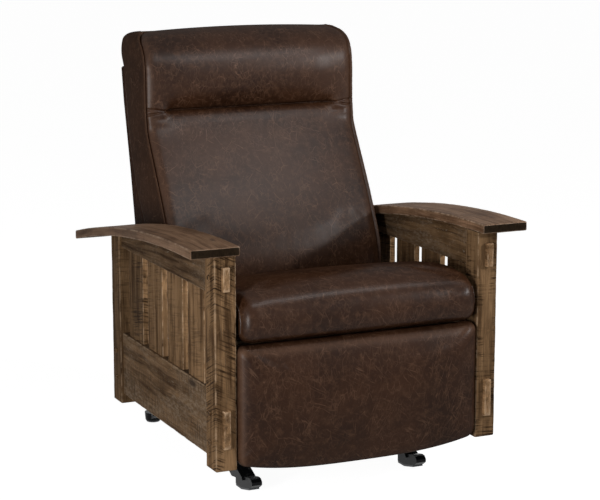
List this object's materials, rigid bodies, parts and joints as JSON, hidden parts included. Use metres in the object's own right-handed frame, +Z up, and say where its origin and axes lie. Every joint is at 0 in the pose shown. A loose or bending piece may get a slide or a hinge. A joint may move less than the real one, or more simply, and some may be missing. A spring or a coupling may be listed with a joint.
{
  "type": "rocker recliner",
  "caption": "Rocker recliner with slatted wood sides, bowed arms, a brown leather seat and back, a folding leg rest and a steel rocking base.",
  "frame": {"origin": "centre of the overall box, on the floor under the feet", "axes": "+X towards the right arm as seen from the front, +Y towards the back, +Z up"},
  "size_m": [0.9152, 0.9204, 1.114],
  "materials": {
    "reclaimed_wood": "matte",
    "arm_wood": "satin",
    "frame_wood": "matte",
    "brown_leather": "satin",
    "black_steel": "satin",
    "link_steel": "satin",
    "pin_steel": "satin",
    "spring_steel": "satin",
    "bush_rubber": "matte",
    "glide_plastic": "matte",
    "jute_webbing": "matte"
  },
  "bodies": {
    "base": {"left_base_rail": "black_steel", "right_base_rail": "black_steel", "front_base_tube": "black_steel", "rear_base_tube": "black_steel", "pivot_brackets": "black_steel", "rocker_pins": "pin_steel", "front_feet": "black_steel", "rear_feet": "black_steel", "foot_glides": "glide_plastic"},
    "frame": {"left_front_post": "reclaimed_wood", "right_front_post": "reclaimed_wood", "left_rear_post": "reclaimed_wood", "right_rear_post": "reclaimed_wood", "left_lower_rail": "reclaimed_wood", "right_lower_rail": "reclaimed_wood", "left_upper_rail": "reclaimed_wood", "right_upper_rail": "reclaimed_wood", "left_slats": "reclaimed_wood", "right_slats": "reclaimed_wood", "left_arm": "arm_wood", "right_arm": "arm_wood", "left_pegs": "reclaimed_wood", "right_pegs": "reclaimed_wood", "left_cleat": "frame_wood", "right_cleat": "frame_wood", "front_stretcher": "frame_wood", "middle_stretcher": "frame_wood", "rear_cross_rail": "reclaimed_wood", "left_mechanism_rail": "black_steel", "right_mechanism_rail": "black_steel", "left_rocker_hanger": "black_steel", "right_rocker_hanger": "black_steel", "rocker_bushes": "bush_rubber"},
    "front_links": {"front_swing_links": "link_steel"},
    "rear_links": {"rear_swing_links": "link_steel"},
    "seat": {"left_seat_plate": "link_steel", "right_seat_plate": "link_steel", "seat_side_rails": "frame_wood", "seat_front_rail": "frame_wood", "seat_rear_rail": "frame_wood", "seat_cross_tube": "black_steel", "seat_springs": "spring_steel", "seat_cushion": "brown_leather"},
    "backrest": {"back_stiles": "frame_wood", "back_top_rail": "frame_wood", "back_bottom_rail": "frame_wood", "back_webbing": "jute_webbing", "outside_back": "brown_leather", "back_brackets": "link_steel", "back_cushion": "brown_leather"},
    "follower": {"follower_links": "link_steel"},
    "crank": {"crank_links": "link_steel", "crank_cross_tube": "black_steel"},
    "upper_links": {"upper_long_links": "link_steel"},
    "lower_links": {"lower_long_links": "link_steel"},
    "leg_rest": {"leg_rest_brackets": "link_steel", "leg_rest_board": "frame_wood", "leg_rest_pad": "brown_leather"}
  },
  "joints": [
    {"name": "rock", "type": "hinge", "parent": "base", "child": "frame", "pos_m": [0, 0.00215, 0.112], "axis": [-1, 0, 0], "range_deg": [-8, 12], "stiffness_Nm_per_rad": 700},
    {"name": "front_swing", "type": "hinge", "parent": "frame", "child": "front_links", "pos_m": [0, -0.18285, 0.247], "axis": [1, 0, 0], "range_deg": [0, 36]},
    {"name": "seat_level", "type": "hinge", "parent": "front_links", "child": "seat", "pos_m": [0, -0.15195, 0.34211], "axis": [1, 0, 0], "range_deg": [-36, 0]},
    {"name": "rear_swing", "type": "hinge", "parent": "frame", "child": "rear_links", "pos_m": [0, 0.08715, 0.247], "axis": [1, 0, 0], "range_deg": [0, 36]},
    {"name": "recline", "type": "hinge", "parent": "seat", "child": "backrest", "pos_m": [0, 0.12215, 0.417], "axis": [-1, 0, 0], "range_deg": [0, 36]},
    {"name": "leg_rest_open", "type": "hinge", "parent": "seat", "child": "crank", "pos_m": [0, -0.26185, 0.34], "axis": [-1, 0, 0], "range_deg": [0, 90]},
    {"name": "follower_turn", "type": "hinge", "parent": "seat", "child": "follower", "pos_m": [0, -0.31485, 0.358], "axis": [-1, 0, 0], "range_deg": [0, 90]},
    {"name": "upper_link_level", "type": "hinge", "parent": "crank", "child": "upper_links", "pos_m": [0, -0.15485, 0.197], "axis": [-1, 0, 0], "range_deg": [-90, 0]},
    {"name": "lower_link_level", "type": "hinge", "parent": "crank", "child": "lower_links", "pos_m": [0, -0.15485, 0.097], "axis": [-1, 0, 0], "range_deg": [-90, 0]},
    {"name": "leg_rest_turn", "type": "hinge", "parent": "upper_links", "child": "leg_rest", "pos_m": [0, -0.35985, 0.361], "axis": [-1, 0, 0], "range_deg": [0, 90]}
  ],
  "couplings": [
    {"joint": "front_swing", "follows": "recline", "ratio": 1},
    {"joint": "seat_level", "follows": "recline", "ratio": -1},
    {"joint": "rear_swing", "follows": "recline", "ratio": 1},
    {"joint": "follower_turn", "follows": "leg_rest_open", "ratio": 1},
    {"joint": "upper_link_level", "follows": "leg_rest_open", "ratio": -1},
    {"joint": "lower_link_level", "follows": "leg_rest_open", "ratio": -1},
    {"joint": "leg_rest_turn", "follows": "leg_rest_open", "ratio": 1}
  ]
}
